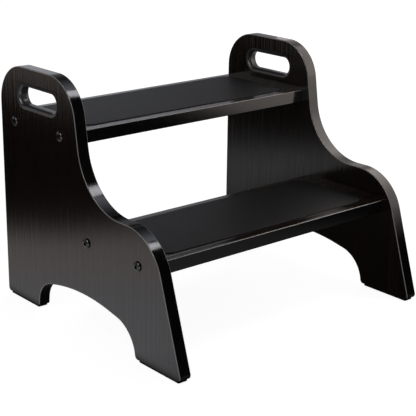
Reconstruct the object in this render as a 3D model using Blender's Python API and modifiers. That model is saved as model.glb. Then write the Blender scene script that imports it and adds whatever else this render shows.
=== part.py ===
"""A child's two-tread step stool: two slotted side panels, two treads with mats, and knock-down fittings.

Metres, +Z up. X runs from the left panel to the right one, the steps face -Y, and the feet stand on z = 0.
Side outlines are written as (depth, height), with depth measured from the stool's back towards its front.
"""

import math

import bmesh
import bpy
from mathutils import Vector

# Overall size
WIDTH = 0.400
DEPTH = 0.3577
HEIGHT = 0.310
BOARD = 0.016
GAP = 0.0003

# Side panels. The front toe is where the leg's front edge would meet the foot with no rounding
PAD_THICKNESS = 0.0022
PANEL_BOTTOM = PAD_THICKNESS + GAP
BAND_THICKNESS = 0.001
FRONT_TOE = 0.3595
ARC_STEP = math.radians(9)
ARC_LENGTH = 0.012
WELD = 1e-6

# Hand slot, at its narrowest, and the round-over of its rims
SLOT_CENTRE = (0.083, 0.2742)
SLOT_LENGTH = 0.079
SLOT_HEIGHT = 0.0224
SLOT_ROUNDING = 0.0055
SLOT_END_POINTS = 9
SLOT_FLARE_STEPS = 4

# Treads, and mats that lie a little behind the middle of them
TREAD_DEPTH = 0.145
UPPER_TREAD = {"name": "upper", "centre": 0.079, "top": 0.247, "bolt_centre": 0.082}
LOWER_TREAD = {"name": "lower", "centre": 0.232, "top": 0.1266, "bolt_centre": 0.232}
MAT_THICKNESS = 0.0007
MAT_LENGTH = 0.3354
MAT_DEPTH = 0.118
MAT_SETBACK = 0.0015
MAT_CORNER = 0.013

# Foot pads: depth where each begins and ends
REAR_PAD = (0.005, 0.0705)
FRONT_PAD = (0.281, 0.3535)
PAD_WIDTH = 0.0136
PAD_CORNER = 0.002

# Furniture bolts and barrel nuts
BOLT_PITCH = 0.099
HEAD_RADIUS = 0.0062
HEAD_HEIGHT = 0.0030
HEAD_RIM = 0.00045
DOME_STEPS = 5
SHANK_RADIUS = 0.003
BOLT_LENGTH = 0.050
TIP_CHAMFER = 0.001
BOLT_SIDES = 20
SOCKET_ACROSS = 0.004
SOCKET_DEPTH = 0.0022
BOLT_HOLE_RADIUS = 0.0035
ROOM_PAST_TIP = 0.004
NUT_RADIUS = 0.005
NUT_LENGTH = 0.0125
NUT_SETBACK = 0.028
NUT_HOLE_RADIUS = NUT_RADIUS + GAP
DRIVER_SLOT_WIDTH = 0.0016
DRIVER_SLOT_DEPTH = 0.0012
# How far a cutter reaches past the face that it opens
OVERSHOOT = 0.001

# Where the back of the stool lies on Y, so that the box is centred
BACK = DEPTH / 2
# Turns a flat outline drawn as (depth, height) upright: its X runs to the front, its Y up
UPRIGHT = (math.radians(90), 0, math.radians(-90))

OUTLINE = [
    (0.0, PANEL_BOTTOM, 0.005),
    (0.0, HEIGHT, 0.0495),
    (0.1555, HEIGHT, 0.052),
    (0.1785, 0.161, 0.080),
    (0.3083, 0.163, 0.064),
    (FRONT_TOE, PANEL_BOTTOM, 0.005),
    (0.2757, PANEL_BOTTOM, 0.005),
    (0.2704, 0.037, 0.043),
    (0.1617, 0.0575, 0.280),
    (0.0767, 0.0345, 0.033),
    (0.0733, PANEL_BOTTOM, 0.0025),
]

BLACK_GRAIN = ((0.018, 0.013, 0.012), 0.42)
BLACK_EDGE = ((0.020, 0.019, 0.019), 0.30)
MAT_RUBBER = ((0.035, 0.036, 0.038), 0.85)
PAD_RUBBER = ((0.012, 0.012, 0.012), 0.80)
BLACK_STEEL = ((0.030, 0.030, 0.032), 0.38)
ZINC = ((0.60, 0.61, 0.62), 0.35)


def clear_scene():
    for obj in list(bpy.data.objects):
        bpy.data.objects.remove(obj, do_unlink=True)


def collection(name):
    made = bpy.data.collections.new(name)
    bpy.context.scene.collection.children.link(made)
    return made


def material(name, look, metallic=0.0):
    colour, roughness = look
    made = bpy.data.materials.new(name)
    made.use_nodes = True
    shader = made.node_tree.nodes["Principled BSDF"]
    shader.inputs["Base Color"].default_value = (*colour, 1.0)
    shader.inputs["Roughness"].default_value = roughness
    shader.inputs["Metallic"].default_value = metallic
    return made


def fillet(before, corner, after, inset):
    """Points of one rounded corner, with the whole outline moved inwards by inset."""
    here = Vector(corner[:2])
    to_before = (Vector(before[:2]) - here).normalized()
    to_after = (Vector(after[:2]) - here).normalized()
    half_angle = to_before.angle(to_after) / 2
    bisector = (to_before + to_after).normalized()
    centre = here + bisector * corner[2] / math.sin(half_angle)
    convex = to_before.cross(to_after) > 0
    radius = corner[2] - inset if convex else corner[2] + inset
    sweep = math.pi - 2 * half_angle
    steps = max(2, round(sweep / ARC_STEP), round(corner[2] * sweep / ARC_LENGTH))
    middle = math.atan2(-bisector.y, -bisector.x)
    direction = -1 if convex else 1
    points = []
    for step in range(steps + 1):
        angle = middle + direction * sweep * (step / steps - 0.5)
        points.append(centre + radius * Vector((math.cos(angle), math.sin(angle))))
    return points


def rounded_outline(corners, inset=0.0):
    """Outline through corners given as (x, y, radius), running clockwise."""
    points = []
    for index, corner in enumerate(corners):
        after = corners[(index + 1) % len(corners)]
        points += fillet(corners[index - 1], corner, after, inset)
    return points


def rectangle(width, height, radius):
    """Clockwise corners of a rounded rectangle about the origin."""
    x, y = width / 2, height / 2
    return [(-x, -y, radius), (-x, y, radius), (x, y, radius), (x, -y, radius)]


def extruded(name, outlines, thickness, home):
    """Flat solid from closed outlines; each outline inside another one is a hole."""
    curve = bpy.data.curves.new(name, "CURVE")
    curve.dimensions = "2D"
    curve.fill_mode = "BOTH"
    curve.extrude = thickness / 2
    for outline in outlines:
        spline = curve.splines.new("POLY")
        spline.points.add(len(outline) - 1)
        spline.use_cyclic_u = True
        for point, place in zip(spline.points, outline):
            point.co = (place.x, place.y, 0, 1)
    obj = bpy.data.objects.new(name, curve)
    home.objects.link(obj)
    return obj


def meshed(obj):
    """The same solid as a welded mesh, so that it can be cut."""
    bpy.context.view_layer.update()
    graph = bpy.context.evaluated_depsgraph_get()
    mesh = bpy.data.meshes.new_from_object(obj.evaluated_get(graph))
    work = bmesh.new()
    work.from_mesh(mesh)
    bmesh.ops.remove_doubles(work, verts=work.verts, dist=WELD)
    bmesh.ops.recalc_face_normals(work, faces=work.faces)
    work.to_mesh(mesh)
    work.free()
    name = obj.name
    made = bpy.data.objects.new(name + "_mesh", mesh)
    made.matrix_world = obj.matrix_world.copy()
    for home in obj.users_collection:
        home.objects.link(made)
    bpy.data.objects.remove(obj, do_unlink=True)
    made.name = name
    return made


def cylinder(name, radius, length, centre, axis, home, sides=24):
    """Round bar about a centre, along world X or Z."""
    mesh = bpy.data.meshes.new(name)
    work = bmesh.new()
    bmesh.ops.create_cone(
        work, cap_ends=True, segments=sides, radius1=radius, radius2=radius, depth=length
    )
    work.to_mesh(mesh)
    work.free()
    obj = bpy.data.objects.new(name, mesh)
    obj.location = centre
    if axis == "X":
        obj.rotation_euler = (0, math.radians(90), 0)
    home.objects.link(obj)
    return obj


def box(name, size, centre, home):
    mesh = bpy.data.meshes.new(name)
    work = bmesh.new()
    bmesh.ops.create_cube(work, size=1.0)
    bmesh.ops.scale(work, vec=size, verts=work.verts)
    work.to_mesh(mesh)
    work.free()
    obj = bpy.data.objects.new(name, mesh)
    obj.location = centre
    home.objects.link(obj)
    return obj


def cut(obj, cutter):
    boolean = obj.modifiers.new("cut_" + cutter.name, "BOOLEAN")
    boolean.operation = "DIFFERENCE"
    boolean.solver = "EXACT"
    boolean.object = cutter


def slot_ring(work, offset, height):
    """One level of the hand slot's cutter: the slot's outline grown by offset."""
    radius = SLOT_HEIGHT / 2 + offset
    straight = (SLOT_LENGTH - SLOT_HEIGHT) / 2
    ring = []
    for end in (1, -1):
        for step in range(SLOT_END_POINTS):
            angle = math.pi * (step / (SLOT_END_POINTS - 1) - 0.5)
            x = end * (straight + radius * math.cos(angle))
            y = end * radius * math.sin(angle)
            ring.append(work.verts.new((x, y, height)))
    return ring


def slot_cutter(name, x, home):
    """Loft through the panel that flares at both faces, which rounds the slot's rims."""
    half = BOARD / 2
    levels = [(SLOT_ROUNDING, half + OVERSHOOT)]
    for step in range(SLOT_FLARE_STEPS + 1):
        angle = math.radians(90) * step / SLOT_FLARE_STEPS
        offset = SLOT_ROUNDING * (1 - math.sin(angle))
        levels.append((offset, half - SLOT_ROUNDING * (1 - math.cos(angle))))
    levels += [(offset, -height) for offset, height in reversed(levels)]
    mesh = bpy.data.meshes.new(name)
    work = bmesh.new()
    rings = [slot_ring(work, *level) for level in levels]
    count = len(rings[0])
    for upper, lower in zip(rings, rings[1:]):
        for i in range(count):
            j = (i + 1) % count
            work.faces.new((upper[i], lower[i], lower[j], upper[j]))
    work.faces.new(rings[0])
    work.faces.new(rings[-1])
    bmesh.ops.recalc_face_normals(work, faces=work.faces)
    work.to_mesh(mesh)
    work.free()
    obj = bpy.data.objects.new(name, mesh)
    obj.location = (x, BACK - SLOT_CENTRE[0], SLOT_CENTRE[1])
    obj.rotation_euler = UPRIGHT
    home.objects.link(obj)
    return obj


def bolt_places(tread):
    """(name, y, z) of the two bolts at each end of a tread."""
    height = tread["top"] - BOARD / 2
    for end, side in (("rear", -1), ("front", 1)):
        depth = tread["bolt_centre"] + side * BOLT_PITCH / 2
        yield f"{tread['name']}_{end}", BACK - depth, height


def side_panel(side, sign, parts, cutters, looks):
    """One side panel's core, with its hand slot and bolt holes, and the band round its edge."""
    x = sign * (WIDTH - BOARD) / 2
    core = extruded(
        f"side_panel_{side}", [rounded_outline(OUTLINE, BAND_THICKNESS + GAP)], BOARD, parts
    )
    core.location = (x, BACK, 0)
    core.rotation_euler = UPRIGHT
    core = meshed(core)
    core.data.materials.append(looks["board"])
    cut(core, slot_cutter(f"hand_slot_{side}", x, cutters))
    for tread in (UPPER_TREAD, LOWER_TREAD):
        for name, y, z in bolt_places(tread):
            hole = cylinder(
                f"panel_hole_{side}_{name}", BOLT_HOLE_RADIUS, BOARD + 2 * OVERSHOOT,
                (x, y, z), "X", cutters,
            )
            cut(core, hole)

    band = extruded(
        f"edge_band_{side}",
        [rounded_outline(OUTLINE), rounded_outline(OUTLINE, BAND_THICKNESS)],
        BOARD,
        parts,
    )
    band.location = (x, BACK, 0)
    band.rotation_euler = UPRIGHT
    meshed(band).data.materials.append(looks["edge"])


def tread_board(tread, parts, cutters, looks):
    """A tread's board with its bolt bores and nut holes, its two edge bands and its mat."""
    name = tread["name"]
    length = WIDTH - 2 * BOARD - 2 * GAP
    y = BACK - tread["centre"]
    z = tread["top"] - BOARD / 2
    core_depth = TREAD_DEPTH - 2 * (BAND_THICKNESS + GAP)
    board = box(f"{name}_tread", (length, core_depth, BOARD), (0, y, z), parts)
    board.data.materials.append(looks["board"])
    bore_depth = BOLT_LENGTH - BOARD + ROOM_PAST_TIP
    for sign, side in ((-1, "left"), (1, "right")):
        end = sign * length / 2
        for place, bolt_y, bolt_z in bolt_places(tread):
            bore = cylinder(
                f"tread_bore_{side}_{place}", BOLT_HOLE_RADIUS, 2 * bore_depth,
                (end, bolt_y, bolt_z), "X", cutters,
            )
            cut(board, bore)
            nut_x = sign * (WIDTH / 2 - BOARD - NUT_SETBACK)
            hole_top = z - BOARD / 2 + NUT_LENGTH + GAP
            hole_height = NUT_LENGTH + GAP + OVERSHOOT
            hole = cylinder(
                f"nut_hole_{side}_{place}", NUT_HOLE_RADIUS, hole_height,
                (nut_x, bolt_y, hole_top - hole_height / 2), "Z", cutters,
            )
            cut(board, hole)

    for edge, sign in (("front", -1), ("rear", 1)):
        band_y = y + sign * (TREAD_DEPTH - BAND_THICKNESS) / 2
        band = box(
            f"{name}_tread_band_{edge}", (length, BAND_THICKNESS, BOARD), (0, band_y, z), parts
        )
        band.data.materials.append(looks["edge"])

    mat_outline = rounded_outline(rectangle(MAT_LENGTH, MAT_DEPTH, MAT_CORNER))
    mat = extruded(f"{name}_mat", [mat_outline], MAT_THICKNESS, parts)
    mat.location = (0, y + MAT_SETBACK, tread["top"] + GAP + MAT_THICKNESS / 2)
    meshed(mat).data.materials.append(looks["mat"])


def foot_pad(name, x, ends, parts, looks):
    """Thin rubber strip under one foot."""
    length = ends[1] - ends[0]
    outline = rounded_outline(rectangle(PAD_WIDTH, length, PAD_CORNER))
    pad = extruded(name, [outline], PAD_THICKNESS, parts)
    pad.location = (x, BACK - sum(ends) / 2, PAD_THICKNESS / 2)
    meshed(pad).data.materials.append(looks["pad"])


def bolt_profile():
    """Half section of a bolt about Z: over the domed head at +X, then down the shank to its tip."""
    crown = HEAD_HEIGHT - HEAD_RIM
    points = [(0.0, HEAD_HEIGHT)]
    for step in range(1, DOME_STEPS + 1):
        angle = math.radians(90) * step / DOME_STEPS
        points.append((HEAD_RADIUS * math.sin(angle), HEAD_RIM + crown * math.cos(angle)))
    points += [
        (HEAD_RADIUS, 0.0),
        (SHANK_RADIUS, 0.0),
        (SHANK_RADIUS, TIP_CHAMFER - BOLT_LENGTH),
        (SHANK_RADIUS - TIP_CHAMFER, -BOLT_LENGTH),
        (0.0, -BOLT_LENGTH),
    ]
    return points


def bolt(name, sign, y, z, parts, cutters, looks):
    """Domed furniture bolt with a hexagon socket, its head on the panel's outer face."""
    mesh = bpy.data.meshes.new(name)
    profile = [(x, 0, height) for x, height in bolt_profile()]
    edges = [(i, i + 1) for i in range(len(profile) - 1)]
    mesh.from_pydata(profile, edges, [])
    mesh.materials.append(looks["bolt"])
    obj = bpy.data.objects.new(name, mesh)
    obj.location = (sign * (WIDTH / 2 + GAP), y, z)
    obj.rotation_euler = (0, sign * math.radians(90), 0)
    parts.objects.link(obj)
    screw = obj.modifiers.new("turn", "SCREW")
    screw.steps = screw.render_steps = BOLT_SIDES
    screw.use_merge_vertices = True
    screw.merge_threshold = 10 * WELD
    socket = cylinder(
        f"socket_{name}", SOCKET_ACROSS / math.sqrt(3), 2 * SOCKET_DEPTH,
        (sign * (WIDTH / 2 + GAP + HEAD_HEIGHT), y, z), "X", cutters, sides=6,
    )
    cut(obj, socket)


def barrel_nut(name, x, y, tread, parts, cutters, looks):
    """Cross-drilled steel barrel in the tread, with a screwdriver slot in its lower end."""
    underside = tread["top"] - BOARD
    nut = cylinder(name, NUT_RADIUS, NUT_LENGTH, (x, y, underside + NUT_LENGTH / 2), "Z", parts)
    nut.data.materials.append(looks["nut"])
    across = 2 * (NUT_RADIUS + OVERSHOOT)
    thread = cylinder(
        f"thread_{name}", SHANK_RADIUS + GAP, across, (x, y, tread["top"] - BOARD / 2), "X", cutters
    )
    cut(nut, thread)
    driver_slot = box(
        f"driver_slot_{name}", (across, DRIVER_SLOT_WIDTH, 2 * DRIVER_SLOT_DEPTH),
        (x, y, underside), cutters,
    )
    cut(nut, driver_slot)


def build():
    clear_scene()
    parts = collection("step_stool")
    cutters = collection("cutters")
    looks = {
        "board": material("grained_board", BLACK_GRAIN),
        "edge": material("edge_band", BLACK_EDGE),
        "mat": material("mat_rubber", MAT_RUBBER),
        "pad": material("pad_rubber", PAD_RUBBER),
        "bolt": material("blackened_steel", BLACK_STEEL, 0.9),
        "nut": material("zinc_plated", ZINC, 1.0),
    }
    for tread in (UPPER_TREAD, LOWER_TREAD):
        tread_board(tread, parts, cutters, looks)
    for side, sign in (("left", -1), ("right", 1)):
        side_panel(side, sign, parts, cutters, looks)
        panel_x = sign * (WIDTH - BOARD) / 2
        foot_pad(f"foot_pad_{side}_rear", panel_x, REAR_PAD, parts, looks)
        foot_pad(f"foot_pad_{side}_front", panel_x, FRONT_PAD, parts, looks)
        nut_x = sign * (WIDTH / 2 - BOARD - NUT_SETBACK)
        for tread in (UPPER_TREAD, LOWER_TREAD):
            for place, y, z in bolt_places(tread):
                bolt(f"bolt_{side}_{place}", sign, y, z, parts, cutters, looks)
                barrel_nut(f"barrel_nut_{side}_{place}", nut_x, y, tread, parts, cutters, looks)
    for cutter in cutters.objects:
        cutter.hide_render = True
        cutter.display_type = "WIRE"


build()
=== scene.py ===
import math

import bmesh
import bpy
from mathutils import Matrix, Vector
from mathutils.geometry import tessellate_polygon


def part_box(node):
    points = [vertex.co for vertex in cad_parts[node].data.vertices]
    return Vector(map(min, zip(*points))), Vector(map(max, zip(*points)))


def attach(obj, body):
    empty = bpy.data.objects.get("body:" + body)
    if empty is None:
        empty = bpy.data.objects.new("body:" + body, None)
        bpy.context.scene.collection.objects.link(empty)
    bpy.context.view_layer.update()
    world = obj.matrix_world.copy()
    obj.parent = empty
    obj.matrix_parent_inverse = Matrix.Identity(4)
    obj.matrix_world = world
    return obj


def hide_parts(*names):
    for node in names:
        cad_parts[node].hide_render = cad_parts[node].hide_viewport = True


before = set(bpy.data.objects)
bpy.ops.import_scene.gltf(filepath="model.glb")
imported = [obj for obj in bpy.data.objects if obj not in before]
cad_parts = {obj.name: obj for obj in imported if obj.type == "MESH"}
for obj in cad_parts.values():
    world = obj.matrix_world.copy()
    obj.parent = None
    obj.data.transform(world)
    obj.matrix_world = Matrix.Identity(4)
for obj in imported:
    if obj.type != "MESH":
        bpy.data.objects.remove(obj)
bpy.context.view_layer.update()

# ---------------------------------------------------------------- sizes, in metres
BAND = 0.001            # thickness of the edging strips
ARRIS = 0.0009          # rounding of their corners, drawn pale: a lighter trimmed edge and a painted highlight
LOWER_ARRIS = 0.0003    # rounding of a tread's bottom corner
TRIM_AND_HIGHLIGHT_START = 0.003       # a panel's pale arris, partly a painted highlight, starts this height above its bottom; below, the strip stays black
ROUNDING_STEPS = 5
ARC_STEP = math.radians(3.0)
ARC_LENGTH = 0.004
WELD = 2e-6             # points of a piece this close are one
NEAR = 1e-5             # CAD points this close are one, and this close to a face lie on it

PANEL_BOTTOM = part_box("edge_band_left")[0].z
PANEL_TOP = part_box("edge_band_left")[1].z
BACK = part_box("edge_band_left")[1].y
# Corners of a side panel as (depth from the back edge, height, radius)
OUTLINE = [
    (0.0, PANEL_BOTTOM, 0.005),
    (0.0, PANEL_TOP, 0.0495),
    (0.1555, PANEL_TOP, 0.052),
    (0.1785, 0.161, 0.080),
    (0.3083, 0.163, 0.064),
    (0.3595, PANEL_BOTTOM, 0.005),
    (0.2757, PANEL_BOTTOM, 0.005),
    (0.2704, 0.037, 0.043),
    (0.1617, 0.0575, 0.280),
    (0.0767, 0.0345, 0.033),
    (0.0733, PANEL_BOTTOM, 0.0025),
]
SLOT_CENTRE = (0.083, 0.2742)
SLOT_LENGTH = 0.079
SLOT_HEIGHT = 0.0224
SLOT_ROUNDING = 0.0055
SLOT_FLARE_STEPS = 8
MAT_CORNER = 0.016
PAD_CORNER = 0.002
SHEET_ROUNDING = 0.0004 # rounding of a mat's or pad's edge

BOLT_PLACES = ("upper_rear", "upper_front", "lower_rear", "lower_front")
BOLT_HOLE = 0.0035
BOLT_SIDES = 48
SHANK = 0.003
TIP_CHAMFER = 0.0008
NECK = 0.0004           # cone where the shank meets the head
HEAD_HEIGHT = 0.0030
HEAD_RADIUS = 0.0062
HEAD_CHAMFER = 0.0003
HEAD_RIM = 0.0007       # height of the head's straight side
DOME_STEPS = 10
DOME_FULLNESS = 0.9     # 1 is an ellipse, and less is fuller
SOCKET_ACROSS = 0.004
SOCKET_DEPTH = 0.0022
SOCKET_MOUTH = 0.0007   # how far the round mouth reaches past the socket's corners
MOUTH_CHAMFER = (0.0002, 0.0001)
MOUTH_DEPTH = 0.0003    # where the round mouth has become the hexagon
SOCKET_TURNS = {"left": (0.2, 0.75, 0.4, 0.9), "right": (0.1, 0.6, 0.3, 0.85)}


# ---------------------------------------------------------------- outlines and meshes
def fillet(before, corner, after, inset):
    """Points of one rounded corner of an outline that is moved inwards by inset."""
    here = Vector(corner[:2])
    to_before = (Vector(before[:2]) - here).normalized()
    to_after = (Vector(after[:2]) - here).normalized()
    half_angle = to_before.angle(to_after) / 2
    bisector = (to_before + to_after).normalized()
    centre = here + bisector * corner[2] / math.sin(half_angle)
    convex = to_before.cross(to_after) > 0
    radius = corner[2] - inset if convex else corner[2] + inset
    sweep = math.pi - 2 * half_angle
    steps = max(4, round(sweep / ARC_STEP), round(corner[2] * sweep / ARC_LENGTH))
    middle = math.atan2(-bisector.y, -bisector.x)
    direction = -1 if convex else 1
    points = []
    for step in range(steps + 1):
        angle = middle + direction * sweep * (step / steps - 0.5)
        points.append(centre + radius * Vector((math.cos(angle), math.sin(angle))))
    return points


def rounded(corners, inset=0.0):
    """Outline through corners given as (x, y, radius), running clockwise."""
    points = []
    for index, corner in enumerate(corners):
        after = corners[(index + 1) % len(corners)]
        points += fillet(corners[index - 1], corner, after, inset)
    return points


def stadium(length, height, offset, sides=28):
    """Slot outline about the origin, grown by offset."""
    radius = height / 2 + offset
    straight = (length - height) / 2
    points = []
    for end in (1, -1):
        for step in range(sides + 1):
            angle = math.pi * (step / sides - 0.5)
            across = end * (straight + radius * math.cos(angle))
            points.append(Vector((across, end * radius * math.sin(angle))))
    return points


def circle(centre, radius, sides=32):
    return [
        Vector((centre[0] + radius * math.cos(2 * math.pi * i / sides),
                centre[1] + radius * math.sin(2 * math.pi * i / sides)))
        for i in range(sides)
    ]


def finished(name, work, materials, replaced, sharp=32.0):
    """Turns a bmesh into a piece that rides on the frame."""
    bmesh.ops.remove_doubles(work, verts=work.verts, dist=WELD)
    bmesh.ops.recalc_face_normals(work, faces=work.faces)
    mesh = bpy.data.meshes.new(name)
    work.to_mesh(mesh)
    work.free()
    for material in materials:
        mesh.materials.append(material)
    mesh.shade_smooth()
    mesh.set_sharp_from_angle(angle=math.radians(sharp))
    piece = bpy.data.objects.new(name, mesh)
    bpy.context.scene.collection.objects.link(piece)
    weighted = piece.modifiers.new("even_normals", "WEIGHTED_NORMAL")
    weighted.keep_sharp = True
    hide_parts(replaced)
    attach(piece, "root")
    return piece


def ring_walls(work, rings, looks, closed=False):
    """Walls between rings of vertices; looks gives each wall's material, and the texture
    runs along the rings."""
    uv = work.loops.layers.uv.verify()
    count = len(rings[0])
    along = [0.0]
    for i in range(count):
        along.append(along[-1] + (rings[0][(i + 1) % count].co - rings[0][i].co).length)
    following = rings[1:] + rings[:1] if closed else rings[1:]
    across = 0.0
    for k, (first, second) in enumerate(zip(rings, following)):
        width = (second[0].co - first[0].co).length
        for i in range(count):
            j = (i + 1) % count
            face = work.faces.new((first[i], second[i], second[j], first[j]))
            face.material_index = looks[k] if isinstance(looks, list) else looks
            places = ((along[i], across), (along[i], across + width),
                      (along[i + 1], across + width), (along[i + 1], across))
            for loop, place in zip(face.loops, places):
                loop[uv].uv = place
        across += width


def cap(work, loops):
    """Flat face bounded by the first loop, with the other loops as holes in it."""
    verts = [v for loop in loops for v in loop]
    for corner in tessellate_polygon([[v.co for v in loop] for loop in loops]):
        work.faces.new([verts[i] for i in corner])


def rounding(radius, steps=ROUNDING_STEPS):
    """(inwards, down) of a quarter round from the top face to the side."""
    return [
        (radius * (1 - math.sin(math.radians(90) * s / steps)),
         radius * (1 - math.cos(math.radians(90) * s / steps)))
        for s in range(steps + 1)
    ]


# ---------------------------------------------------------------- materials
def node_set(name):
    material = bpy.data.materials.new(name)
    material.use_nodes = True
    tree = material.node_tree
    return material, tree, tree.nodes["Principled BSDF"]


def node(tree, kind, inputs=None, **settings):
    made = tree.nodes.new(kind)
    for key, value in settings.items():
        setattr(made, key, value)
    for key, value in (inputs or {}).items():
        if isinstance(value, bpy.types.NodeSocket):
            tree.links.new(value, made.inputs[key])
        else:
            made.inputs[key].default_value = value
    return made


def placed(tree, scale=(1.0, 1.0, 1.0), source="Object"):
    coordinates = node(tree, "ShaderNodeTexCoord").outputs[source]
    return node(tree, "ShaderNodeMapping", {"Vector": coordinates, "Scale": scale}).outputs["Vector"]


def noise(tree, vector, scale=1.0, detail=3.0, rough=0.55):
    return node(tree, "ShaderNodeTexNoise", {
        "Vector": vector, "Scale": scale, "Detail": detail, "Roughness": rough,
    }).outputs["Fac"]


def fit(tree, value, low, high, to_low, to_high):
    return node(tree, "ShaderNodeMapRange", {
        "Value": value, "From Min": low, "From Max": high, "To Min": to_low, "To Max": to_high,
    }).outputs["Result"]


def spread(tree, value, to_low, to_high):
    """A noise's usual range, fitted to another one."""
    return fit(tree, value, 0.3, 0.7, to_low, to_high)


def maths(tree, operation, a, b=0.0):
    return node(tree, "ShaderNodeMath", {0: a, 1: b}, operation=operation).outputs[0]


def blend_colour(tree, factor, a, b):
    made = node(tree, "ShaderNodeMix", data_type="RGBA")
    for socket, value in ((made.inputs["Factor"], factor), (made.inputs[6], a), (made.inputs[7], b)):
        if isinstance(value, bpy.types.NodeSocket):
            tree.links.new(value, socket)
        else:
            socket.default_value = (*value, 1.0) if isinstance(value, tuple) else value
    return made.outputs[2]


def bump(tree, height, distance, under=None):
    inputs = {"Height": height, "Distance": distance}
    if under is not None:
        inputs["Normal"] = under
    return node(tree, "ShaderNodeBump", inputs).outputs["Normal"]


def shaded(tree, shader, colour, tone):
    """Sets the shader's colour to one colour, made darker and lighter by tone."""
    scaled = node(tree, "ShaderNodeVectorMath", {0: colour, "Scale": tone}, operation="SCALE")
    tree.links.new(scaled.outputs[0], shader.inputs["Base Color"])


GRAIN_DARK = (0.0010, 0.0004, 0.0002)
GRAIN_PALE = (0.0130, 0.0072, 0.0038)
GRAIN_CLOUD = (0.0050, 0.0025, 0.0012)
MAT_DARK = (0.0025, 0.0025, 0.0031)
MAT_PALE = (0.0125, 0.0125, 0.0142)


def wood_laminate(name, along):
    """Black-brown woodgrain foil: fine ridges, bands and pores that run along one axis."""
    material, tree, shader = node_set(name)

    def stretched(across, lengthways, rough=0.5):
        scale = [across, across, across]
        scale["XYZ".index(along)] = lengthways
        return noise(tree, placed(tree, scale), detail=2.0, rough=rough)

    ridges = stretched(620.0, 9.0, rough=0.6)
    bands = stretched(320.0, 6.0)
    pores = stretched(1500.0, 60.0)
    clouds = stretched(16.0, 4.0, rough=0.55)
    grain = maths(tree, "ADD", maths(tree, "MULTIPLY", ridges, 0.4), maths(tree, "MULTIPLY", bands, 0.4))
    grain = maths(tree, "ADD", grain, maths(tree, "MULTIPLY", pores, 0.2))
    colour = blend_colour(tree, fit(tree, grain, 0.41, 0.59, 0.0, 1.0), GRAIN_DARK, GRAIN_PALE)
    colour = blend_colour(tree, fit(tree, clouds, 0.35, 0.65, 0.0, 0.35), colour, GRAIN_CLOUD)
    tree.links.new(colour, shader.inputs["Base Color"])
    tree.links.new(fit(tree, grain, 0.40, 0.60, 0.20, 0.09), shader.inputs["Roughness"])
    normal = bump(tree, pores, 0.00002)
    normal = bump(tree, bands, 0.00030, under=normal)
    normal = bump(tree, ridges, 0.00015, under=normal)
    tree.links.new(normal, shader.inputs["Normal"])
    return material


def edging(name, colour, rough):
    """Glossy edging strip, drawn along its length."""
    material, tree, shader = node_set(name)
    lines = noise(tree, placed(tree, (9.0, 1500.0, 1.0), "UV"), detail=3.0, rough=0.6)
    marks = noise(tree, placed(tree, (90.0, 400.0, 1.0), "UV"), detail=2.0)
    shaded(tree, shader, colour, spread(tree, lines, 0.75, 1.3))
    tree.links.new(spread(tree, marks, rough - 0.04, rough + 0.05), shader.inputs["Roughness"])
    tree.links.new(bump(tree, lines, 0.00001), shader.inputs["Normal"])
    return material


def mat_surface(name):
    """Charcoal non-slip sheet with a fine pebbled face."""
    material, tree, shader = node_set(name)
    here = placed(tree)
    pebbles = node(tree, "ShaderNodeTexVoronoi", {"Vector": here, "Scale": 1700.0},
                   feature="SMOOTH_F1").outputs["Distance"]
    speckle = noise(tree, here, scale=900.0)
    clouds = noise(tree, here, scale=22.0)
    tone = maths(tree, "ADD", spread(tree, speckle, 0.0, 0.6), spread(tree, clouds, 0.0, 0.4))
    tree.links.new(blend_colour(tree, tone, MAT_DARK, MAT_PALE), shader.inputs["Base Color"])
    shader.inputs["Specular IOR Level"].default_value = 0.17
    tree.links.new(spread(tree, speckle, 0.42, 0.56), shader.inputs["Roughness"])
    tree.links.new(bump(tree, maths(tree, "ADD", pebbles, speckle), 0.00010), shader.inputs["Normal"])
    return material


def moulded(name, colour, rough, grain, depth, shine=0.5):
    """Plain moulded or painted surface with a fine skin."""
    material, tree, shader = node_set(name)
    here = placed(tree)
    skin = noise(tree, here, scale=grain)
    clouds = noise(tree, here, scale=60.0, detail=2.0)
    shaded(tree, shader, colour, spread(tree, clouds, 0.8, 1.25))
    shader.inputs["Specular IOR Level"].default_value = shine
    tree.links.new(spread(tree, skin, rough - 0.05, rough + 0.06), shader.inputs["Roughness"])
    tree.links.new(bump(tree, skin, depth), shader.inputs["Normal"])
    return material


def metal(name, colour, rough, metallic):
    """Plated or blackened metal with a fine skin."""
    material, tree, shader = node_set(name)
    skin = noise(tree, placed(tree), scale=1400.0)
    shaded(tree, shader, colour, spread(tree, skin, 0.8, 1.2))
    shader.inputs["Metallic"].default_value = metallic
    tree.links.new(spread(tree, skin, rough - 0.05, rough + 0.07), shader.inputs["Roughness"])
    tree.links.new(bump(tree, skin, 0.00001), shader.inputs["Normal"])
    return material


PANEL_LOOK = wood_laminate("panel_laminate", "Z")
TREAD_LOOK = wood_laminate("tread_laminate", "X")
EDGE_LOOK = edging("edging_black", (0.0012, 0.0012, 0.0013), 0.13)
# The pale arris colour is a lighter trimmed edge of the strip, brightened to stand for a painted
# highlight.
TRIM_AND_HIGHLIGHT_LOOK = edging("edging_trim_and_painted_highlight", (0.25, 0.235, 0.22), 0.26)
SLOT_LOOK = moulded("slot_paint", (0.020, 0.021, 0.024), 0.33, 700.0, 0.00001)
MAT_LOOK = mat_surface("mat_charcoal")
PAD_LOOK = moulded("pad_rubber", (0.003, 0.003, 0.003), 0.62, 900.0, 0.00004, shine=0.12)
BOLT_LOOK = metal("bolt_black_oxide", (0.045, 0.044, 0.044), 0.18, 0.85)
NUT_LOOK = metal("nut_zinc", (0.60, 0.61, 0.62), 0.34, 1.0)


# ---------------------------------------------------------------- side panels
def ring_of(work, x, points):
    """Vertices at outline points (depth, height) on the plane at x."""
    return [work.verts.new((x, BACK - p.x, p.y)) for p in points]


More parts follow.
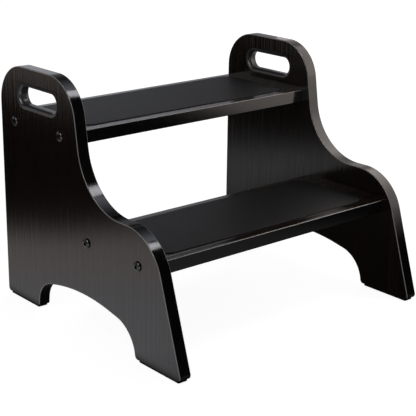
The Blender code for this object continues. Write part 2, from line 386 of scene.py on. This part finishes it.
def bolt_spots(side):
    """(depth, height) of the bolt holes of one panel, from the bolts' boxes."""
    spots = []
    for place in BOLT_PLACES:
        low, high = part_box(f"bolt_{side}_{place}")
        spots.append((BACK - (low.y + high.y) / 2, (low.z + high.z) / 2))
    return spots


def panel(side):
    """One side panel with its hand slot and bolt holes, and the strip round its edge."""
    low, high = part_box(f"edge_band_{side}")
    work = bmesh.new()
    outer = [ring_of(work, x, rounded(OUTLINE, BAND)) for x in (low.x, high.x)]
    ring_walls(work, outer, 0)
    slot_rings = []
    flare = rounding(SLOT_ROUNDING, SLOT_FLARE_STEPS)
    levels = [(inwards, low.x + down) for inwards, down in flare]
    levels += [(inwards, high.x - down) for inwards, down in reversed(flare)]
    for offset, x in levels:
        points = [p + Vector(SLOT_CENTRE) for p in stadium(SLOT_LENGTH, SLOT_HEIGHT, offset)]
        slot_rings.append(ring_of(work, x, points))
    ring_walls(work, slot_rings, 1)
    bores = []
    for spot in bolt_spots(side):
        rings = [ring_of(work, x, circle(spot, BOLT_HOLE)) for x in (low.x, high.x)]
        ring_walls(work, rings, 0)
        bores.append(rings)
    cap(work, [outer[0], slot_rings[0], *[b[0] for b in bores]])
    cap(work, [outer[1], slot_rings[-1], *[b[1] for b in bores]])
    finished(f"panel_{side}", work, [PANEL_LOOK, SLOT_LOOK], f"side_panel_{side}")

    work = bmesh.new()
    turn = rounding(ARRIS)
    profile = [(BAND, low.x)] + [(inwards, low.x + down) for inwards, down in turn]
    profile += [(inwards, high.x - down) for inwards, down in reversed(turn)] + [(BAND, high.x)]
    rings = [ring_of(work, x, rounded(OUTLINE, inset)) for inset, x in profile]
    # Both arrises of a panel's strip take the pale look, partly a painted highlight.
    trim_and_highlight = [1] * ROUNDING_STEPS
    ring_walls(work, rings, trim_and_highlight + [0, 0, 0] + trim_and_highlight + [0], closed=True)
    for face in work.faces:
        if face.calc_center_median().z < PANEL_BOTTOM + TRIM_AND_HIGHLIGHT_START:
            face.material_index = 0
    finished(f"edging_{side}", work, [EDGE_LOOK, TRIM_AND_HIGHLIGHT_LOOK], f"edge_band_{side}")


# ---------------------------------------------------------------- treads
def bar(work, section, x0, x1, looks):
    """Straight bar along X with a closed section of (y, z) points; ends capped."""
    uv = work.loops.layers.uv.verify()
    ends = [[work.verts.new((x, y, z)) for y, z in section] for x in (x0, x1)]
    count = len(section)
    across = 0.0
    for i in range(count):
        j = (i + 1) % count
        width = math.dist(section[i], section[j])
        face = work.faces.new((ends[0][i], ends[0][j], ends[1][j], ends[1][i]))
        face.material_index = looks[i]
        places = ((x0, across), (x0, across + width), (x1, across + width), (x1, across))
        for loop, place in zip(face.loops, places):
            loop[uv].uv = place
        across += width
    for end in ends:
        work.faces.new(end)


def tread(name):
    """One tread, widened to meet the strips on its front and rear edges, and the strips."""
    low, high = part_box(f"{name}_tread")
    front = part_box(f"{name}_tread_band_front")
    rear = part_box(f"{name}_tread_band_rear")
    work = bmesh.new()
    work.from_mesh(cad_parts[f"{name}_tread"].data)
    bmesh.ops.remove_doubles(work, verts=work.verts, dist=NEAR)
    for v in work.verts:
        if abs(v.co.y - low.y) < NEAR:
            v.co.y = front[0].y + BAND
        if abs(v.co.y - high.y) < NEAR:
            v.co.y = rear[1].y - BAND
    finished(f"board_{name}", work, [TREAD_LOOK], f"{name}_tread")

    for edge, (lo, hi), sign in (("front", front, 1), ("rear", rear, -1)):
        outside = lo.y if sign == 1 else hi.y
        inside = outside + sign * BAND
        section = [(inside, lo.z)]
        section += [(outside + sign * inwards, lo.z + down) for inwards, down in rounding(LOWER_ARRIS)]
        section += [(outside + sign * inwards, hi.z - down) for inwards, down in reversed(rounding(ARRIS))]
        section += [(inside, hi.z)]
        # Only a tread strip's top arris takes the pale look, partly a painted highlight; its bottom arris
        # stays black.
        looks = [0] * (ROUNDING_STEPS + 3) + [1] * ROUNDING_STEPS + [0]
        work = bmesh.new()
        bar(work, section, lo.x, hi.x, looks)
        finished(f"edging_{name}_{edge}", work, [EDGE_LOOK, TRIM_AND_HIGHLIGHT_LOOK],
                 f"{name}_tread_band_{edge}")


def flat_piece(name, node_name, corner, look, both=False, bottom=None):
    """Thin sheet with rounded corners and a rounded top edge, in the space of its CAD node;
    both rounds the bottom edge too, and bottom moves its underside."""
    low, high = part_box(node_name)
    if bottom is not None:
        low.z = bottom
    corners = [(low.x, low.y, corner), (low.x, high.y, corner),
               (high.x, high.y, corner), (high.x, low.y, corner)]
    turn = rounding(SHEET_ROUNDING)
    levels = [(inwards, high.z - down) for inwards, down in turn]
    if both:
        levels += [(inwards, low.z + down) for inwards, down in reversed(turn)]
    else:
        levels += [(0.0, low.z)]
    work = bmesh.new()
    rings = [[work.verts.new((p.x, p.y, z)) for p in rounded(corners, inset)] for inset, z in levels]
    ring_walls(work, rings, 0)
    cap(work, [rings[0]])
    cap(work, [rings[-1]])
    finished(name, work, [look], node_name)


# ---------------------------------------------------------------- bolts and nuts
def head_profile(mouth):
    """(radius, height) along a domed head, from its seat to the socket's round mouth."""
    rise = HEAD_HEIGHT - HEAD_RIM
    profile = [(HEAD_RADIUS - HEAD_CHAMFER, 0.0), (HEAD_RADIUS, HEAD_CHAMFER), (HEAD_RADIUS, HEAD_RIM)]
    for step in range(1, DOME_STEPS):
        angle = math.radians(90) * step / DOME_STEPS
        radius = HEAD_RADIUS * math.cos(angle) ** DOME_FULLNESS
        if radius > mouth:
            profile.append((radius, HEAD_RIM + rise * math.sin(angle)))
    edge = math.acos((mouth / HEAD_RADIUS) ** (1 / DOME_FULLNESS))
    return profile + [(mouth, HEAD_RIM + rise * math.sin(edge))]


def bolt(side, place, sign, turn):
    """One furniture bolt, head outwards; turn is the angle of its hexagonal socket."""
    name = f"bolt_{side}_{place}"
    low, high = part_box(name)
    y, z = (low.y + high.y) / 2, (low.z + high.z) / 2
    seat = sign * (abs(low.x if sign < 0 else high.x) - HEAD_HEIGHT)
    tip = high.x if sign < 0 else low.x
    length = abs(tip - seat)
    matrix = Matrix.Translation((seat, y, z)) @ Matrix.Rotation(sign * math.radians(90), 4, "Y")
    work = bmesh.new()
    angles = [2 * math.pi * i / BOLT_SIDES for i in range(BOLT_SIDES)]

    def ring(radii, height):
        return [
            work.verts.new(matrix @ Vector((radius * math.cos(angle), radius * math.sin(angle), height)))
            for radius, angle in zip(radii, angles)
        ]

    mouth = SOCKET_ACROSS / math.sqrt(3) + SOCKET_MOUTH
    profile = [(SHANK - TIP_CHAMFER, -length), (SHANK, -length + TIP_CHAMFER), (SHANK, -NECK),
               (SHANK + NECK, 0.0), *head_profile(mouth)]
    top = profile[-1][1]
    profile.append((mouth - MOUTH_CHAMFER[0], top - MOUTH_CHAMFER[1]))
    rings = [ring([radius] * BOLT_SIDES, height) for radius, height in profile]
    wedges = [(angle - turn) % math.radians(60) - math.radians(30) for angle in angles]
    socket = [SOCKET_ACROSS / 2 / math.cos(wedge) for wedge in wedges]
    rings += [ring(socket, height) for height in (top - MOUTH_DEPTH, top - SOCKET_DEPTH)]
    for first, second in zip(rings, rings[1:]):
        for i in range(BOLT_SIDES):
            j = (i + 1) % BOLT_SIDES
            work.faces.new((first[i], second[i], second[j], first[j]))
    work.faces.new(rings[0])
    work.faces.new(rings[-1])
    finished(f"furniture_{name}", work, [BOLT_LOOK], name, sharp=40.0)


def carried(node_name, look):
    """A CAD node that stays in view takes its look here."""
    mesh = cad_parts[node_name].data
    mesh.materials.clear()
    mesh.materials.append(look)


for side in ("left", "right"):
    panel(side)
for name in ("upper", "lower"):
    tread(name)
    flat_piece(f"step_mat_{name}", f"{name}_mat", MAT_CORNER, MAT_LOOK,
               bottom=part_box(f"{name}_tread")[1].z)
for side in ("left", "right"):
    for end in ("rear", "front"):
        flat_piece(f"pad_{side}_{end}", f"foot_pad_{side}_{end}", PAD_CORNER, PAD_LOOK,
                   both=True)
for side, sign in (("left", -1), ("right", 1)):
    for place, turn in zip(BOLT_PLACES, SOCKET_TURNS[side]):
        bolt(side, place, sign, turn)
        carried(f"barrel_nut_{side}_{place}", NUT_LOOK)


# ---------------------------------------------------------------- floor, reflector cards and light
def card(name, centre, normal, width, height, material, seen_by_camera=False):
    """Flat sheet of the set; a camera ray passes through all but the floor."""
    mesh = bpy.data.meshes.new(name)
    work = bmesh.new()
    bmesh.ops.create_grid(work, x_segments=1, y_segments=1, size=0.5)
    bmesh.ops.scale(work, vec=(width, height, 1), verts=work.verts)
    work.to_mesh(mesh)
    work.free()
    mesh.materials.append(material)
    made = bpy.data.objects.new(name, mesh)
    made.location = centre
    made.rotation_mode = "QUATERNION"
    made.rotation_quaternion = Vector(normal).to_track_quat("Z", "Y")
    bpy.context.scene.collection.objects.link(made)
    made.visible_camera = seen_by_camera
    made.visible_diffuse = False
    made.visible_shadow = False
    made.visible_transmission = False
    return made


def ramp(tree, value, stops):
    """Level read off (value, level) stops, straight between them."""
    low, high = stops[0][0], stops[-1][0]
    made = node(tree, "ShaderNodeValToRGB", {"Fac": fit(tree, value, low, high, 0.0, 1.0)})
    elements = made.color_ramp.elements
    elements.remove(elements[-1])
    for index, (place, level) in enumerate(stops):
        element = elements[0] if index == 0 else elements.new((place - low) / (high - low))
        element.color = (level, level, level, 1.0)
    return made.outputs["Color"]


def emitter(name, colour, levels):
    """Light from a card whose strength levels(tree) gives; colour may be a function too.
    What lies behind the card adds to it."""
    material = bpy.data.materials.new(name)
    material.use_nodes = True
    tree = material.node_tree
    tree.nodes.clear()
    tint = colour(tree) if callable(colour) else (*colour, 1.0)
    light = node(tree, "ShaderNodeEmission", {"Color": tint, "Strength": levels(tree)})
    clear = node(tree, "ShaderNodeBsdfTransparent")
    both = node(tree, "ShaderNodeAddShader", {0: light.outputs[0], 1: clear.outputs[0]})
    tree.links.new(both.outputs[0], node(tree, "ShaderNodeOutputMaterial").inputs["Surface"])
    return material


def along_axes(tree, coordinates):
    """X, Y and Z of the texture coordinates of that name, or of the world position."""
    if coordinates == "Position":
        vector = node(tree, "ShaderNodeNewGeometry").outputs["Position"]
    else:
        vector = node(tree, "ShaderNodeTexCoord").outputs[coordinates]
    axes = node(tree, "ShaderNodeSeparateXYZ", {"Vector": vector}).outputs
    return axes["X"], axes["Y"], axes["Z"]


def glow(name, colour, upward, sideways):
    """Light from a card, with (part of its height, strength) and (part of its width,
    factor) stops."""
    def levels(tree):
        across, up, _ = along_axes(tree, "Generated")
        return maths(tree, "MULTIPLY", ramp(tree, up, upward), ramp(tree, across, sideways))
    return emitter(name, colour, levels)


def right_levels(tree):
    """Brightness of the warm card on the right: dark below, dimmed aslant towards the back."""
    _, y, z = along_axes(tree, "Position")
    aslant = maths(tree, "SUBTRACT", y, maths(tree, "MULTIPLY", z, RIGHT_SLANT))
    return maths(tree, "MULTIPLY", ramp(tree, z, RIGHT_UPWARD), fit(tree, aslant, *RIGHT_CUT))


def patch(tree, level, first, second):
    """A lit patch of the sweep between two soft edges, each (value, dark at, lit at)."""
    return maths(tree, "MULTIPLY", fit(tree, *first, 0.0, level), fit(tree, *second, 0.0, 1.0))


def sweep_levels(tree):
    """Painted light of the paper sweep that the glossy faces mirror: a lit strip square to the
    camera, patches for the other sides, and a painted shadow of the stool where it stands on it."""
    across, forward, _ = along_axes(tree, "Object")
    x, y, _ = along_axes(tree, "Position")
    level = ramp(tree, forward, SWEEP_FORWARD)
    across = maths(tree, "SUBTRACT", across, ramp(tree, forward, SWEEP_LEAN))
    level = maths(tree, "MULTIPLY", level, ramp(tree, across, SWEEP_ACROSS))
    in_front = patch(tree, 1.1, (forward, -0.36, -0.56), (x, 0.38, 0.15))
    on_the_right = patch(tree, 0.7, (x, 0.30, 0.60), (y, -0.30, -0.05))
    at_the_back = patch(tree, 0.9, (y, 0.45, 0.80), (x, -0.25, 0.05))
    for more in (in_front, on_the_right, at_the_back):
        level = maths(tree, "MAXIMUM", level, more)
    # Painted shadow of the stool: the sweep falls to a dark level below it and brightens over a few
    # centimetres beside, behind and in front.
    beside = maths(tree, "SUBTRACT", maths(tree, "ABSOLUTE", x), HALF_WIDTH)
    behind = maths(tree, "SUBTRACT", y, BACK)
    before = maths(tree, "MULTIPLY", maths(tree, "ADD", y, BACK), -1.0)
    clear = fit(tree, beside, 0.0, 0.015, STOOL_SHADOW_LEVEL, 1.0)
    for distance, start, end in ((behind, 0.06, 0.18), (before, 0.0, 0.10)):
        clear = maths(tree, "MAXIMUM", clear, fit(tree, distance, start, end, STOOL_SHADOW_LEVEL, 1.0))
    return maths(tree, "MULTIPLY", level, clear)


def sweep_tint(tree):
    """Warm to the left of the stool, slightly cool elsewhere."""
    across, forward, _ = along_axes(tree, "Object")
    warmth = patch(tree, 1.0, (across, -0.26, -0.40), (forward, 0.20, 0.08))
    return blend_colour(tree, warmth, SWEEP_COOL, SWEEP_WARM)


def floor_material(name, albedo, own_light):
    """Matt pale floor with a slight unevenness and some light of its own."""
    material, tree, shader = node_set(name)
    fine = noise(tree, placed(tree), scale=3.0, detail=2.0)
    level = spread(tree, fine, albedo - 0.004, albedo + 0.004)
    shade = node(tree, "ShaderNodeCombineColor", {0: level, 1: level, 2: level})
    tree.links.new(shade.outputs[0], shader.inputs["Base Color"])
    shader.inputs["Roughness"].default_value = 0.9
    shader.inputs["Specular IOR Level"].default_value = 0.0
    shader.inputs["Emission Color"].default_value = (1.0, 1.0, 1.0, 1.0)
    shader.inputs["Emission Strength"].default_value = own_light
    return material


def black_cloth(name):
    """Matt black that mirrors nothing."""
    material, _, shader = node_set(name)
    shader.inputs["Base Color"].default_value = (0.002, 0.002, 0.002, 1.0)
    shader.inputs["Roughness"].default_value = 1.0
    shader.inputs["Specular IOR Level"].default_value = 0.0
    return material


HALF_WIDTH = 0.2        # of the stool, over its panels
STOOL_SHADOW_LEVEL = 0.03      # level of the stool's painted shadow on the sweep
SWEEP_TURN = math.radians(-39.66)
# (metres, level) along the sweep, away from the camera, and across it from left to right
SWEEP_FORWARD = (
    (-1.2, 3.0), (-0.6, 2.5), (-0.38, 0.9), (-0.2, 0.86), (0.0, 0.70), (0.05, 0.64), (0.24, 0.50),
    (0.33, 0.42), (0.45, 0.5), (0.6, 0.7), (0.85, 1.1), (1.2, 1.1))
SWEEP_ACROSS = (
    (-1.0, 0.0), (-0.85, 0.01), (-0.79, 0.05), (-0.75, 0.17), (-0.71, 0.46), (-0.675, 0.78),
    (-0.645, 0.95), (-0.61, 1.0), (-0.25, 1.0), (0.0, 0.30), (0.27, 0.22), (0.30, 0.15),
    (0.318, 0.11), (0.333, 0.045), (0.35, 0.01), (1.0, 0.01))
# (metres along the sweep, how far the lit strip is shifted to the right)
SWEEP_LEAN = (
    (-1.2, 0.10), (-0.3, 0.10), (-0.1, 0.155), (0.0, 0.205), (0.45, 0.21), (0.7, 0.165), (1.2, 0.165))
SWEEP_COOL = (0.985, 0.995, 1.05)
SWEEP_WARM = (1.04, 0.94, 0.915)
# (height in metres, level)
RIGHT_UPWARD = (
    (0.10, 0.0), (0.12, 0.35), (0.14, 1.1), (0.175, 1.5), (0.26, 1.7), (0.30, 2.7), (0.40, 2.7),
    (0.46, 2.1), (0.60, 1.0), (0.70, 0.0))
RIGHT_SLANT = 0.5
RIGHT_CUT = (-0.16, -0.10, 1.0, 0.22)  # where the dimming starts and ends, and its factors
# (part of a card's width or height, factor)
EVEN = ((0.0, 1.0), (1.0, 1.0))
SOFT_EDGES = ((0.0, 0.0), (0.15, 1.0), (0.85, 1.0), (1.0, 0.0))
SOFTER_EDGES = ((0.0, 0.0), (0.2, 1.0), (0.8, 1.0), (1.0, 0.0))

floor = card("floor", (0, 0, 0), (0, 0, 1), 60, 60,
             floor_material("floor_pale", albedo=0.25, own_light=0.93), seen_by_camera=True)
floor.visible_glossy = False
# The sweep card glows with the painted light of a lit paper sweep, including the stool's painted shadow;
# only glossy rays see it.
sweep = card("sweep_card", (0, 0, -0.0005), (0, 0, 1), 3.6, 3.6,
             emitter("sweep_painted_light", sweep_tint, sweep_levels))
sweep.rotation_mode = "XYZ"
sweep.rotation_euler = (0, 0, SWEEP_TURN)
card("right_card", (0.35, -0.115, 0.40), (-1, 0, 0), 0.73, 0.60,
     emitter("card_warm", (1.0, 0.91, 0.85), right_levels))
card("back_card", (1.15, 1.64, 1.25), (-0.574, -0.819, 0), 2.7, 2.5,
     glow("card_back", (0.97, 0.985, 1.06),
          ((0.0, 0.66), (0.27, 0.66), (0.32, 0.38), (0.41, 0.25), (0.67, 0.15), (0.89, 0.10), (1.0, 0.05)),
          ((0.0, 1.3), (0.40, 1.3), (0.5, 1.05), (0.56, 0.8), (0.62, 0.55), (1.0, 0.5))))
card("left_card", (-0.75, 1.3, 0.5), (1, 0, 0), 1.5, 1.0,
     glow("card_left", (1.0, 0.90, 0.85),
          ((0.0, 0.0), (0.05, 0.01), (0.065, 0.06), (0.078, 0.30), (0.09, 0.60), (1.0, 0.60)), EVEN))
card("front_card", (-0.3, -1.6, 0.7), (0, 1, 0), 1.8, 1.4,
     glow("card_front", (1.0, 0.98, 0.96), ((0.0, 0.4), (0.8, 0.4), (1.0, 0.0)), SOFT_EDGES))
card("far_card", (-1.15, 2.5, 0.95), (0, -1, 0), 2.3, 1.9,
     glow("card_far", (1.0, 1.0, 1.0), ((0.0, 0.45), (0.7, 0.35), (1.0, 0.0)), ((0.0, 0.6), (1.0, 1.0))))
card("top_card", (0, 0, 3.0), (0, 0, -1), 2.2, 2.2,
     glow("card_top", (1.0, 1.0, 1.0), ((0.0, 0.0), (0.2, 0.5), (0.8, 0.5), (1.0, 0.0)), SOFTER_EDGES))
card("side_card", (-1.7, -0.15, 1.30), (1, 0, 0), 1.2, 1.2,
     glow("card_side", (1.0, 0.98, 0.97), ((0.0, 0.0), (0.15, 9.0), (0.85, 9.0), (1.0, 0.0)), SOFT_EDGES))
card("roof_card", (0.85, 0.40, 1.55), (0, 0, -1), 0.7, 1.1,
     glow("card_roof", (0.96, 0.98, 1.08), ((0.0, 1.5), (0.25, 0.9), (0.55, 0.35), (1.0, 0.0)), EVEN))
# A black flag keeps the left card's light off the right panel round its hand slot
card("flag", (-0.36, 0.70, 0.14), (0, -1, 0), 0.22, 0.22, black_cloth("flag_black"))

# The world lights the matt surfaces, and next to nothing of it is mirrored in the glossy ones
world = bpy.data.worlds.new("studio")
bpy.context.scene.world = world
world.use_nodes = True
sky = world.node_tree
sky.nodes.clear()
ray = node(sky, "ShaderNodeLightPath")
white = (1.0, 1.0, 1.0, 1.0)
soft = node(sky, "ShaderNodeBackground", {"Color": white, "Strength": 0.35})
dim = node(sky, "ShaderNodeBackground", {"Color": white, "Strength": 0.01})
mixed = node(sky, "ShaderNodeMixShader", {
    0: ray.outputs["Is Glossy Ray"], 1: soft.outputs[0], 2: dim.outputs[0]})
sky.links.new(mixed.outputs[0], node(sky, "ShaderNodeOutputWorld").inputs["Surface"])


def area_light(name, place, target, size, radiance, colour):
    """Rectangular light that faces target."""
    data = bpy.data.lights.new(name, "AREA")
    data.shape = "RECTANGLE"
    data.size, data.size_y = size
    data.energy = radiance * math.pi * size[0] * size[1]
    data.color = colour
    made = bpy.data.objects.new(name, data)
    made.location = place
    made.rotation_mode = "QUATERNION"
    made.rotation_quaternion = (Vector(target) - Vector(place)).to_track_quat("-Z", "Y")
    bpy.context.scene.collection.objects.link(made)
    return made


STOOL_MIDDLE = (0, 0, 0.15)
area_light("key", (0.62, -0.40, 1.43), STOOL_MIDDLE, (0.32, 0.42), 8.0, (0.94, 0.95, 1.0))
fill = area_light("fill", (2.3, 0.9, 0.55), STOOL_MIDDLE, (1.2, 0.7), 7.0, (1.0, 0.98, 0.96))
fill.visible_glossy = False

# ---------------------------------------------------------------- camera
CAMERA_PLACE = (-0.95374, -1.08968, 0.59069)
CAMERA_AZIMUTH = math.radians(-39.6591)
CAMERA_ELEVATION = math.radians(18.2629)
CAMERA_ROLL = math.radians(0.3592)
FOCAL_LENGTH = 102.03   # in millimetres, as is the sensor's width
SENSOR_WIDTH = 36

back = Vector((math.sin(CAMERA_AZIMUTH) * math.cos(CAMERA_ELEVATION),
               -math.cos(CAMERA_AZIMUTH) * math.cos(CAMERA_ELEVATION),
               math.sin(CAMERA_ELEVATION)))
right = Vector((math.cos(CAMERA_AZIMUTH), math.sin(CAMERA_AZIMUTH), 0))
up = back.cross(right)
turned_right = right * math.cos(CAMERA_ROLL) + up * math.sin(CAMERA_ROLL)
turned_up = up * math.cos(CAMERA_ROLL) - right * math.sin(CAMERA_ROLL)
lens = bpy.data.cameras.new("camera")
lens.sensor_width = SENSOR_WIDTH
lens.lens = FOCAL_LENGTH
lens.shift_x = 0.0625
lens.shift_y = 0.0144
lens.clip_start = 0.05
lens.clip_end = 100
camera = bpy.data.objects.new("camera", lens)
camera.matrix_world = Matrix((
    (turned_right.x, turned_up.x, back.x, CAMERA_PLACE[0]),
    (turned_right.y, turned_up.y, back.y, CAMERA_PLACE[1]),
    (turned_right.z, turned_up.z, back.z, CAMERA_PLACE[2]),
    (0, 0, 0, 1),
))
bpy.context.scene.collection.objects.link(camera)
bpy.context.scene.camera = camera
bpy.context.scene.view_settings.view_transform = "Standard"
